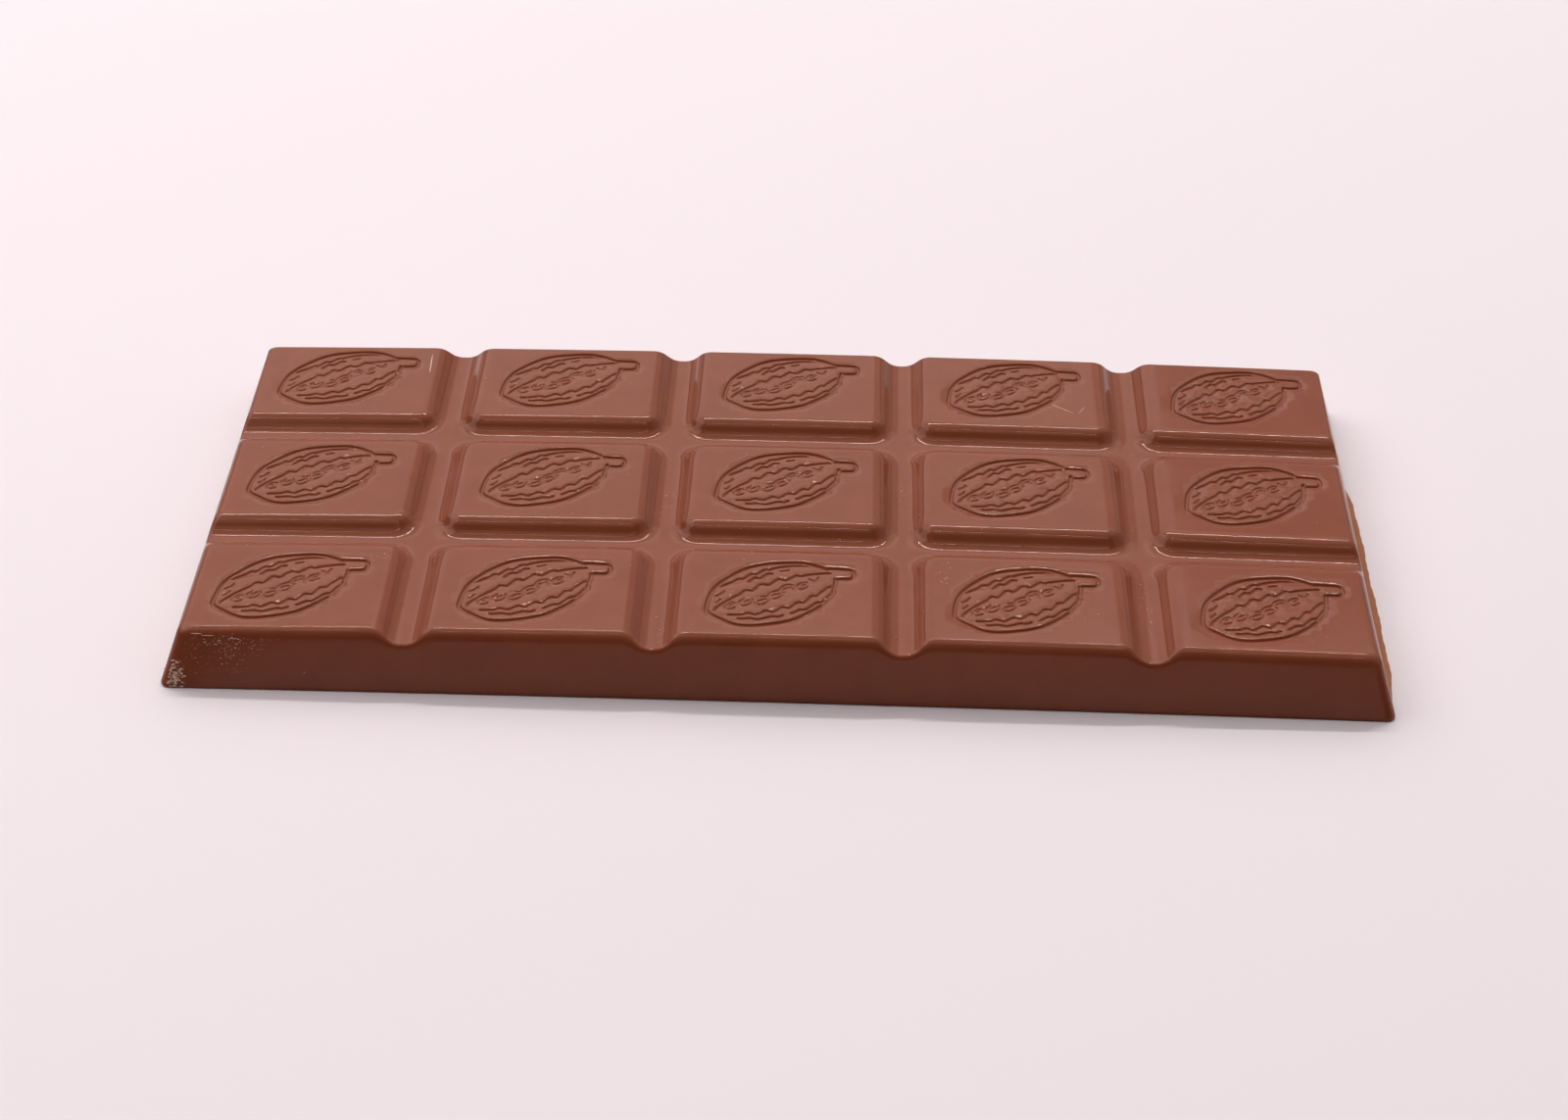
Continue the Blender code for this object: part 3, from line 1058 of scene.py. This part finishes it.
    def foot(
        self, ring: np.ndarray, numbers: np.ndarray, first: int, count_x: int, count_y: int
    ) -> tuple[np.ndarray, np.ndarray, list[np.ndarray]]:
        """Tuck the skin under the bar: a small round along the foot and the flat base.

        Each lower ring is the skin's edge shrunk a little towards the bar's middle. The
        base is strips from the front edge to the back edge.

        Args:
            ring: the skin's edge, anticlockwise from its front left corner.
            numbers: the vertex numbers of that edge.
            first: the number of the first new vertex.
            count_x: mesh lines along the bar.
            count_y: mesh lines across the bar.

        Returns:
            New points, quads between the rings, and the base's faces.
        """
        rings = []
        quads = []
        upper = numbers
        sizes = np.array([self.half_length, self.half_width])
        for number, (inset, level) in enumerate(self.foot_rings):
            lower = ring.copy()
            lower[:, :2] *= (sizes - inset) / (sizes - self.foot_start)
            lower[:, 2] = level
            rings.append(lower)
            current = first + number * len(ring) + np.arange(len(ring))
            quads.append(np.stack([current, np.roll(current, -1), np.roll(upper, -1), upper], axis=1))
            upper = current
        front = upper[:count_x]
        back = np.roll(upper, -(count_x + count_y - 2))[:count_x][::-1]
        right = upper[count_x - 1 : count_x + count_y - 1]
        left = np.concatenate([upper[2 * count_x + count_y - 3 :], upper[:1]])
        left_cap = np.concatenate([left, front[1:2], back[1:2]])[::-1]
        right_cap = np.concatenate([right, back[-2:-1], front[-2:-1]])[::-1]
        strips = np.stack([front[1:-2], back[1:-2], back[2:-1], front[2:-1]], axis=1)
        return np.concatenate(rings), np.concatenate(quads), [*strips, left_cap, right_cap]


# Flash, crumbs and rubbed marks ---------------------------------------------------------


@dataclass
class SideLip:
    """The thin flash of chocolate along the foot of the right side, ragged along its free edge.

    Each wave of the free edge has its share, its turn in radians for each millimetre and its phase.
    """

    foot: float
    outer: float
    finish: MilkChocolateFinish
    start: float = -34.6
    end: float = 17.6
    height: float = 0.5
    root: float = 0.55
    lift: float = 0.02
    front_fade: float = 11.0
    back_fade: float = 7.0
    waves: tuple[tuple[float, float, float], ...] = ((0.5, 0.42, 0.7), (0.3, 1.13, 0.0), (0.2, 3.1, 1.9))
    stations: int = 220
    ring: int = 16

    def build(self) -> bpy.types.Object:
        """Sweep a flat drop shaped section along the foot.

        With p the angle round the section, x is its middle plus r cos p, and z is
        h (1 + sin p) / 2, less 45 % of that at the free edge by (1 + cos p) / 2. The
        reach r and the height h follow the waves and fall away at both ends.

        Returns:
            The lip's object.
        """
        along = np.linspace(self.start, self.end, self.stations)[:, None]
        turn = np.linspace(0.0, 2.0 * math.pi, self.ring, endpoint=False)[None, :]
        fade = smooth_step(along, self.start - 0.4, self.start + self.front_fade)
        fade = fade * (1.0 - smooth_step(along, self.end - self.back_fade, self.end + 0.2))
        ragged = sum(share * np.sin(rate * along + phase) for share, rate, phase in self.waves)
        reach = (self.outer - self.foot) * (0.25 + 0.75 * fade * (0.84 + 0.16 * ragged))
        height = self.height * (0.2 + 0.8 * fade * (0.86 + 0.14 * np.sin(0.77 * along + 2.0)))
        inner = self.foot - self.root
        middle = (inner + self.foot + reach) / 2.0
        radius = (self.foot + reach - inner) / 2.0
        x = middle + radius * np.cos(turn)
        y = np.broadcast_to(along, x.shape)
        outward = 0.5 + 0.5 * np.cos(turn)
        z = self.lift + height * (0.5 + 0.5 * np.sin(turn)) * (1.0 - 0.45 * outward)
        numbers = np.arange(x.size).reshape(x.shape)
        across = np.roll(numbers, -1, axis=1)
        quads = np.stack([numbers[:-1], numbers[1:], across[1:], across[:-1]], axis=2).reshape(-1, 4)
        faces = quads.tolist() + [numbers[0].tolist(), numbers[-1, ::-1].tolist()]
        points = np.stack([x, y, z], axis=2).reshape(-1, 3)
        return add_part("side_lip", points, faces, self.finish.material())


@dataclass
class Grains:
    """Small flattened lumps on the bar: crumbs, grains of fat, rubbed dashes and scratches.

    Each lump has a centre, a direction along which it is drawn out, an outward
    direction, and three half sizes: along, across and outward.
    """

    name: str
    finish: ChocolateDustFinish
    low: np.ndarray
    high: np.ndarray
    bands: int = 6
    sectors: int = 9
    waver: float = 0.2
    centres: list[np.ndarray] = field(default_factory=list)
    alongs: list[np.ndarray] = field(default_factory=list)
    outwards: list[np.ndarray] = field(default_factory=list)
    sizes: list[np.ndarray] = field(default_factory=list)

    def add(self, centres: np.ndarray, along: np.ndarray, outward: np.ndarray, sizes: np.ndarray) -> None:
        """Add lumps.

        Args:
            centres: n places.
            along: n directions or one.
            outward: n directions or one, square to along.
            sizes: n rows of half sizes or one row.
        """
        self.centres.append(centres)
        self.alongs.append(np.broadcast_to(along, centres.shape))
        self.outwards.append(np.broadcast_to(outward, centres.shape))
        self.sizes.append(np.broadcast_to(sizes, centres.shape))

    def build(self) -> bpy.types.Object:
        """Mesh every lump as a ball of a few bands and sectors whose radius wavers.

        The radius at latitude p and longitude q is 1 + w sin(2 q + s) cos(3 p + s), with
        s different for each lump. What would stand out of the bar's box is planed off.

        Returns:
            The object of all lumps.
        """
        centres, along, outward, sizes = (
            np.concatenate(part) for part in (self.centres, self.alongs, self.outwards, self.sizes)
        )
        latitude = np.linspace(0.0, math.pi, self.bands + 1)[1:-1]
        longitude = np.linspace(0.0, 2.0 * math.pi, self.sectors, endpoint=False)
        p, q = (part.ravel() for part in np.meshgrid(latitude, longitude, indexing="ij"))
        p = np.concatenate([p, [0.0, math.pi]])
        q = np.concatenate([q, [0.0, 0.0]])
        ball = np.stack([np.sin(p) * np.cos(q), np.sin(p) * np.sin(q), np.cos(p)], axis=1)
        phase = np.arange(len(centres))[:, None] * 1.7
        # The two poles keep radius 1.
        off_pole = np.sin(p) > 0.01
        radius = 1.0 + self.waver * np.sin(2.0 * q + phase) * np.cos(3.0 * p + phase) * off_pole
        local = radius[..., None] * ball[None] * sizes[:, None, :]
        axes = np.stack([along, np.cross(outward, along), outward], axis=1)
        points = np.clip(centres[:, None, :] + np.einsum("nvk,nkd->nvd", local, axes), self.low, self.high)

        grid = np.arange(len(ball) - 2).reshape(len(latitude), len(longitude))
        beside = np.roll(grid, -1, axis=1)
        quads = np.stack([grid[:-1], grid[1:], beside[1:], beside[:-1]], axis=2).reshape(-1, 4)
        top = np.stack([np.full(self.sectors, grid.size), grid[0], beside[0]], axis=1)
        foot = np.stack([np.full(self.sectors, grid.size + 1), beside[-1], grid[-1]], axis=1)
        first = (np.arange(len(centres)) * len(ball))[:, None, None]
        faces = (quads[None] + first).reshape(-1, 4).tolist()
        faces += (np.concatenate([top, foot])[None] + first).reshape(-1, 3).tolist()
        return add_part(self.name, points.reshape(-1, 3), faces, self.finish.material())


@dataclass
class Wear:
    """The bar's crumbs, grains and rubbed places, laid on its skin."""

    bar: ChocolateBar
    seed: int = 11
    random: np.random.Generator = field(init=False)
    crumbs: Grains = field(init=False)
    bloom: Grains = field(init=False)

    def __post_init__(self) -> None:
        """Start the two kinds of grains, kept inside the CAD bar's box."""
        self.random = np.random.default_rng(self.seed)
        side_x = self.bar.half_length - FOOT_ROUNDING
        side_y = self.bar.half_width - FOOT_ROUNDING
        low = np.array([-side_x, -side_y, 0.0])
        high = np.array([side_x, side_y, self.bar.crown + GRAIN_ROOM])
        self.crumbs = Grains("crumbs", ChocolateDustFinish("chocolate_crumbs", "#A66A4C"), low, high)
        self.bloom = Grains("fat_grains", ChocolateDustFinish("pale_cocoa_fat", "#DDB9A2"), low, high)

    def on_top(self, kind: Grains, places: np.ndarray, heading: float, sizes: np.ndarray) -> None:
        """Lay lumps on the upper side of the skin.

        The outward direction is (-dz/dx, -dz/dy, 1), and the lumps' length is the
        heading's level direction less its share of that.

        Args:
            kind: which grains to add to.
            places: n rows of x and y.
            heading: direction of their length from +X, in degrees.
            sizes: half sizes.
        """
        x, y = places.T
        step = 0.05
        height = self.bar.height
        slope_x = (height(x + step, y) - height(x - step, y)) / (2.0 * step)
        slope_y = (height(x, y + step) - height(x, y - step)) / (2.0 * step)
        outward = np.stack([-slope_x, -slope_y, np.ones_like(x)], axis=1)
        outward /= np.linalg.norm(outward, axis=1, keepdims=True)
        turn = math.radians(heading)
        level = np.array([math.cos(turn), math.sin(turn), 0.0])
        along = level - outward * (outward @ level)[:, None]
        along /= np.linalg.norm(along, axis=1, keepdims=True)
        kind.add(np.stack([x, y, height(x, y)], axis=1), along, outward, sizes)

    def on_front(self, kind: Grains, places: np.ndarray, heading: float, sizes: np.ndarray) -> None:
        """Lay lumps on the drafted front face.

        Args:
            kind: which grains to add to.
            places: n rows of x and height.
            heading: direction of their length from +X up the face, in degrees.
            sizes: half sizes.
        """
        x, z = places.T
        draft = self.bar.draft
        y = -self.bar.half_width + z * math.tan(draft) + self.bar.front_bow(x, z)
        outward = np.array([0.0, -math.cos(draft), math.sin(draft)])
        turn = math.radians(heading)
        up_face = np.array([0.0, math.sin(draft), math.cos(draft)])
        along = np.array([math.cos(turn), 0.0, 0.0]) + math.sin(turn) * up_face
        kind.add(np.stack([x, y, z], axis=1), along, outward, sizes)

    def scattered(self, count: int, centre: tuple[float, float], spread: tuple[float, float]) -> np.ndarray:
        """Random places in a soft patch, normally spread about its centre and cut off at two spreads."""
        offsets = np.clip(self.random.normal(size=(count, 2)), -2.0, 2.0)
        return np.array(centre) + offsets * np.array(spread)

    def strewn(self, count: int, side_x: tuple[float, float], side_y: tuple[float, float]) -> np.ndarray:
        """Random places spread evenly over a rectangle."""
        return np.stack([self.random.uniform(*side_x, count), self.random.uniform(*side_y, count)], axis=1)

    def grain_sizes(self, count: int, smallest: float, largest: float, stretch: float = 1.0) -> np.ndarray:
        """Half sizes between two bounds, many small and few large, not quite half as high as wide."""
        size = smallest + (largest - smallest) * self.random.random(count) ** 3
        return np.stack([size * stretch, size, size * 0.45], axis=1)

    def build(self) -> list[bpy.types.Object]:
        """Lay out all marks and mesh them.

        Returns:
            The crumbs' and the grains' objects.
        """
        self.scratches()
        self.front_marks()
        self.top_specks()
        return [self.crumbs.build(), self.bloom.build()]

    def scratches(self) -> None:
        """Light scratches: two at the back right, one at the back left, one low on the front."""
        thin = np.array([1.0, 0.045, 0.02])
        for start, end, width in (
            ((36.1, 22.7), (39.2, 20.4), 1.0),
            ((39.8, 20.4), (40.8, 22.2), 0.8),
            ((-50.9, 32.6), (-50.7, 27.4), 1.7),
        ):
            first, last = np.array(start), np.array(end)
            along = last - first
            sizes = thin * np.array([np.linalg.norm(along) / 2.0, width, 1.0])
            heading = math.degrees(math.atan2(along[1], along[0]))
            self.on_top(self.bloom, ((first + last) / 2.0)[None], heading, sizes)
        self.on_front(self.crumbs, np.array([[8.7, 2.2]]), -48.0, thin * np.array([1.5, 0.8, 0.7]))

    def front_marks(self) -> None:
        """Marks on the front: a rubbed corner, a brushed patch, dashes under the rim, a few specks."""
        corner = self.scattered(230, (-75.2, 1.5), (0.75, 1.0))
        corner = corner[(corner[:, 1] > 0.2) & (corner[:, 0] > -76.0 + 0.25 * corner[:, 1])]
        self.on_front(self.bloom, corner, 15.0, self.grain_sizes(len(corner), 0.04, 0.13, 1.8))

        # The brushed patch: longer strokes in chocolate and shorter ones in fat.
        brushed = self.scattered(260, (-68.5, 5.4), (3.6, 1.1))
        brushed = brushed[(brushed[:, 1] < 7.0) & (brushed[:, 0] > -73.6)]
        dark, light = brushed[:150], brushed[150:]
        self.on_front(self.crumbs, dark, 2.0, self.grain_sizes(len(dark), 0.03, 0.07, 3.0))
        self.on_front(self.bloom, light, 2.0, self.grain_sizes(len(light), 0.03, 0.07, 2.0))
        lower = self.scattered(70, (-71.0, 2.4), (2.6, 0.25))
        self.on_front(self.crumbs, lower, 0.0, self.grain_sizes(len(lower), 0.02, 0.05, 3.5))

        dashes = ((-72.0, 6.9), (-70.6, 6.7), (-67.4, 6.4), (-37.4, 6.9), (-35.2, 6.9), (-33.2, 6.9))
        self.on_front(self.bloom, np.array(dashes), 0.0, np.array([0.75, 0.05, 0.03]))
        specks = ((37.2, 5.4), (-58.7, 2.4), (-40.4, 5.7), (20.3, 3.9), (44.0, 1.7), (-12.5, 3.1))
        self.on_front(self.bloom, np.array(specks), 0.0, np.array([0.1, 0.08, 0.05]))
        fine = self.strewn(70, (-70.0, 72.0), (0.6, 6.2))
        self.on_front(self.crumbs, fine, 0.0, self.grain_sizes(len(fine), 0.02, 0.06))

    def top_specks(self) -> None:
        """Crumbs on tiles and in grooves, a few clusters, and fine dust all over."""
        crumbs = np.array([[14.8, -30.4], [51.1, 13.1], [51.0, 11.6], [17.8, -4.7], [7.4, -10.0]])
        self.on_top(self.crumbs, crumbs, 40.0, np.array([0.2, 0.15, 0.12]))
        front_specks = ((5.8, -25.1), (40.3, -20.1), (40.0, -26.7), (46.5, -22.7))
        middle_specks = ((-27.3, -1.7), (-15.8, 0.1), (15.5, 2.6))
        specks = np.array(front_specks + middle_specks)
        self.on_top(self.bloom, specks, 0.0, np.array([0.11, 0.09, 0.06]))
        for count, centre, spread in (
            (16, (20.8, -18.9), (0.5, 1.3)),
            (14, (-14.6, -30.4), (0.6, 1.6)),
            (16, (46.2, -22.0), (0.8, 5.0)),
            (12, (-15.4, -2.6), (0.4, 2.4)),
            (12, (-51.4, -18.0), (0.7, 0.5)),
            (14, (27.0, -5.2), (0.7, 0.8)),
            (12, (15.8, 0.2), (0.8, 3.0)),
        ):
            places = self.scattered(count, centre, spread)
            self.on_top(self.bloom, places, 30.0, self.grain_sizes(count, 0.03, 0.08))
        dust = self.strewn(330, (-72.0, 72.0), (-32.5, 32.5))
        pale, brown = dust[:130], dust[130:]
        self.on_top(self.bloom, pale, 10.0, self.grain_sizes(len(pale), 0.025, 0.07))
        self.on_top(self.crumbs, brown, 80.0, self.grain_sizes(len(brown), 0.03, 0.09))


# The set -------------------------------------------------------------------------------


@dataclass
class SoftLight:
    """A flat glowing panel that faces the bar."""

    name: str
    place: tuple[float, float, float]
    size: tuple[float, float]
    radiance: float
    colour: str = "#FFFFFF"

    def build(self) -> bpy.types.Object:
        """Add the panel; its power is radiance times pi times its area.

        Returns:
            The light's object.
        """
        lamp = bpy.data.lights.new(self.name, "AREA")
        lamp.shape = "RECTANGLE"
        lamp.size, lamp.size_y = self.size
        lamp.energy = self.radiance * math.pi * self.size[0] * self.size[1]
        lamp.color = linear_colour(self.colour)[:3]
        panel = bpy.data.objects.new(self.name, lamp)
        panel.location = self.place
        panel.rotation_euler = Vector(self.place).to_track_quat("Z", "Y").to_euler()
        bpy.context.scene.collection.objects.link(panel)
        return panel


@dataclass
class Studio:
    """Pale board, soft panels behind and above the bar, and the camera in front of it.

    The board is measured in millimetres, and lights and camera are placed in metres.
    """

    finish: TableFinish
    board_size: float = 6000.0
    room_colour: str = "#F6EEF4"
    room_glow: float = 0.015
    camera_place: tuple[float, float, float] = (0.006994, -0.333361, 0.229778)
    camera_yaw: float = math.radians(-1.202)
    camera_pitch: float = math.radians(34.95)
    camera_roll: float = math.radians(0.885)
    lens: float = 69.36
    sensor_width: float = 36.0
    nearest: float = 0.01

    def board(self) -> bpy.types.Object:
        """Lay the board under the bar.

        Returns:
            The board's object.
        """
        corners = np.array([(-0.5, -0.5, 0.0), (0.5, -0.5, 0.0), (0.5, 0.5, 0.0), (-0.5, 0.5, 0.0)])
        board = make_piece("board", corners * self.board_size, [(0, 1, 2, 3)], self.finish.material())
        return board

    def light(self) -> None:
        """Hang the panels and give the room a low even glow."""
        panels = (
            SoftLight("low_panel", (0.2, 2.3, 0.33), (5.0, 0.62), 0.45),
            SoftLight("back_panel", (0.0, 1.5, 1.08), (4.2, 1.1), 0.68),
            SoftLight("back_left_panel", (-0.75, 1.48, 1.07), (2.3, 1.05), 0.7),
            SoftLight("ceiling_panel", (-0.1, 0.75, 1.7), (3.2, 2.0), 0.95),
            SoftLight("key_panel", (-0.52, 0.1, 0.56), (0.5, 0.45), 2.1),
            SoftLight("right_panel", (1.7, 0.3, 0.9), (2.0, 1.5), 0.5),
            SoftLight("front_panel", (0.0, -0.48, 1.42), (1.2, 0.3), 0.9),
            SoftLight("back_strip", (-0.05, 0.75, 1.3), (1.1, 0.04), 62.0),
            SoftLight("top_strip", (-0.05, -0.235, 1.48), (1.0, 0.015), 34.0),
        )
        for panel in panels:
            panel.build()
        world = bpy.data.worlds.new("room")
        world.use_nodes = True
        background = world.node_tree.nodes["Background"]
        background.inputs["Color"].default_value = linear_colour(self.room_colour)
        background.inputs["Strength"].default_value = self.room_glow
        bpy.context.scene.world = world

    def camera(self) -> bpy.types.Object:
        """Set up the camera from its place and its yaw, pitch and roll.

        It looks along (sin yaw cos pitch, cos yaw cos pitch, -sin pitch), with its
        right and up turned about that line by the roll.

        Returns:
            The camera's object.
        """
        yaw, pitch, roll = self.camera_yaw, self.camera_pitch, self.camera_roll
        forward = Vector(
            (math.sin(yaw) * math.cos(pitch), math.cos(yaw) * math.cos(pitch), -math.sin(pitch))
        )
        level_right = Vector((math.cos(yaw), -math.sin(yaw), 0.0))
        level_up = level_right.cross(forward)
        right = math.cos(roll) * level_right + math.sin(roll) * level_up
        up = math.cos(roll) * level_up - math.sin(roll) * level_right
        data = bpy.data.cameras.new("camera")
        data.sensor_width = self.sensor_width
        data.sensor_fit = "HORIZONTAL"
        data.lens = self.lens
        data.clip_start = self.nearest
        camera = bpy.data.objects.new("camera", data)
        turn = Matrix((right, up, -forward)).transposed().to_4x4()
        camera.matrix_world = Matrix.Translation(Vector(self.camera_place)) @ turn
        bpy.context.scene.collection.objects.link(camera)
        bpy.context.scene.camera = camera
        return camera


def main() -> None:
    """Build the bar and its set."""
    logging.basicConfig(level=logging.INFO, format="%(name)s: %(message)s")
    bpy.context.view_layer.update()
    low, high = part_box(BAR_NODE)

    bar = ChocolateBar(
        half_length=-low.x / MM + FOOT_ROUNDING,
        half_width=-low.y / MM + FOOT_ROUNDING,
        crown=high.z / MM - CROWN_ROOM,
        finish=MilkChocolateFinish(),
    )
    skin = bar.build()
    log.info("bar skin: %d faces", len(skin.data.polygons))
    # The lip is the bar's own chocolate. Its paler, more orange brown is a painted glow that stands in for
    # light shining through the thin flash.
    thin = MilkChocolateFinish(name="lip_chocolate_painted_glow", body="#9C5A36", pale="#A6633C")
    lip = SideLip(foot=bar.half_length - LIP_ROOT, outer=high.x / MM - LIP_ROOM, finish=thin).build()
    log.info("side lip: %d faces", len(lip.data.polygons))
    for piece in Wear(bar).build():
        log.info("%s: %d faces", piece.name, len(piece.data.polygons))

    studio = Studio(finish=TableFinish())
    studio.board()
    studio.light()
    studio.camera()
    bpy.context.scene.view_settings.view_transform = "Standard"
    log.info("studio: board, panels and camera")


if __name__ == "__main__":
    main()
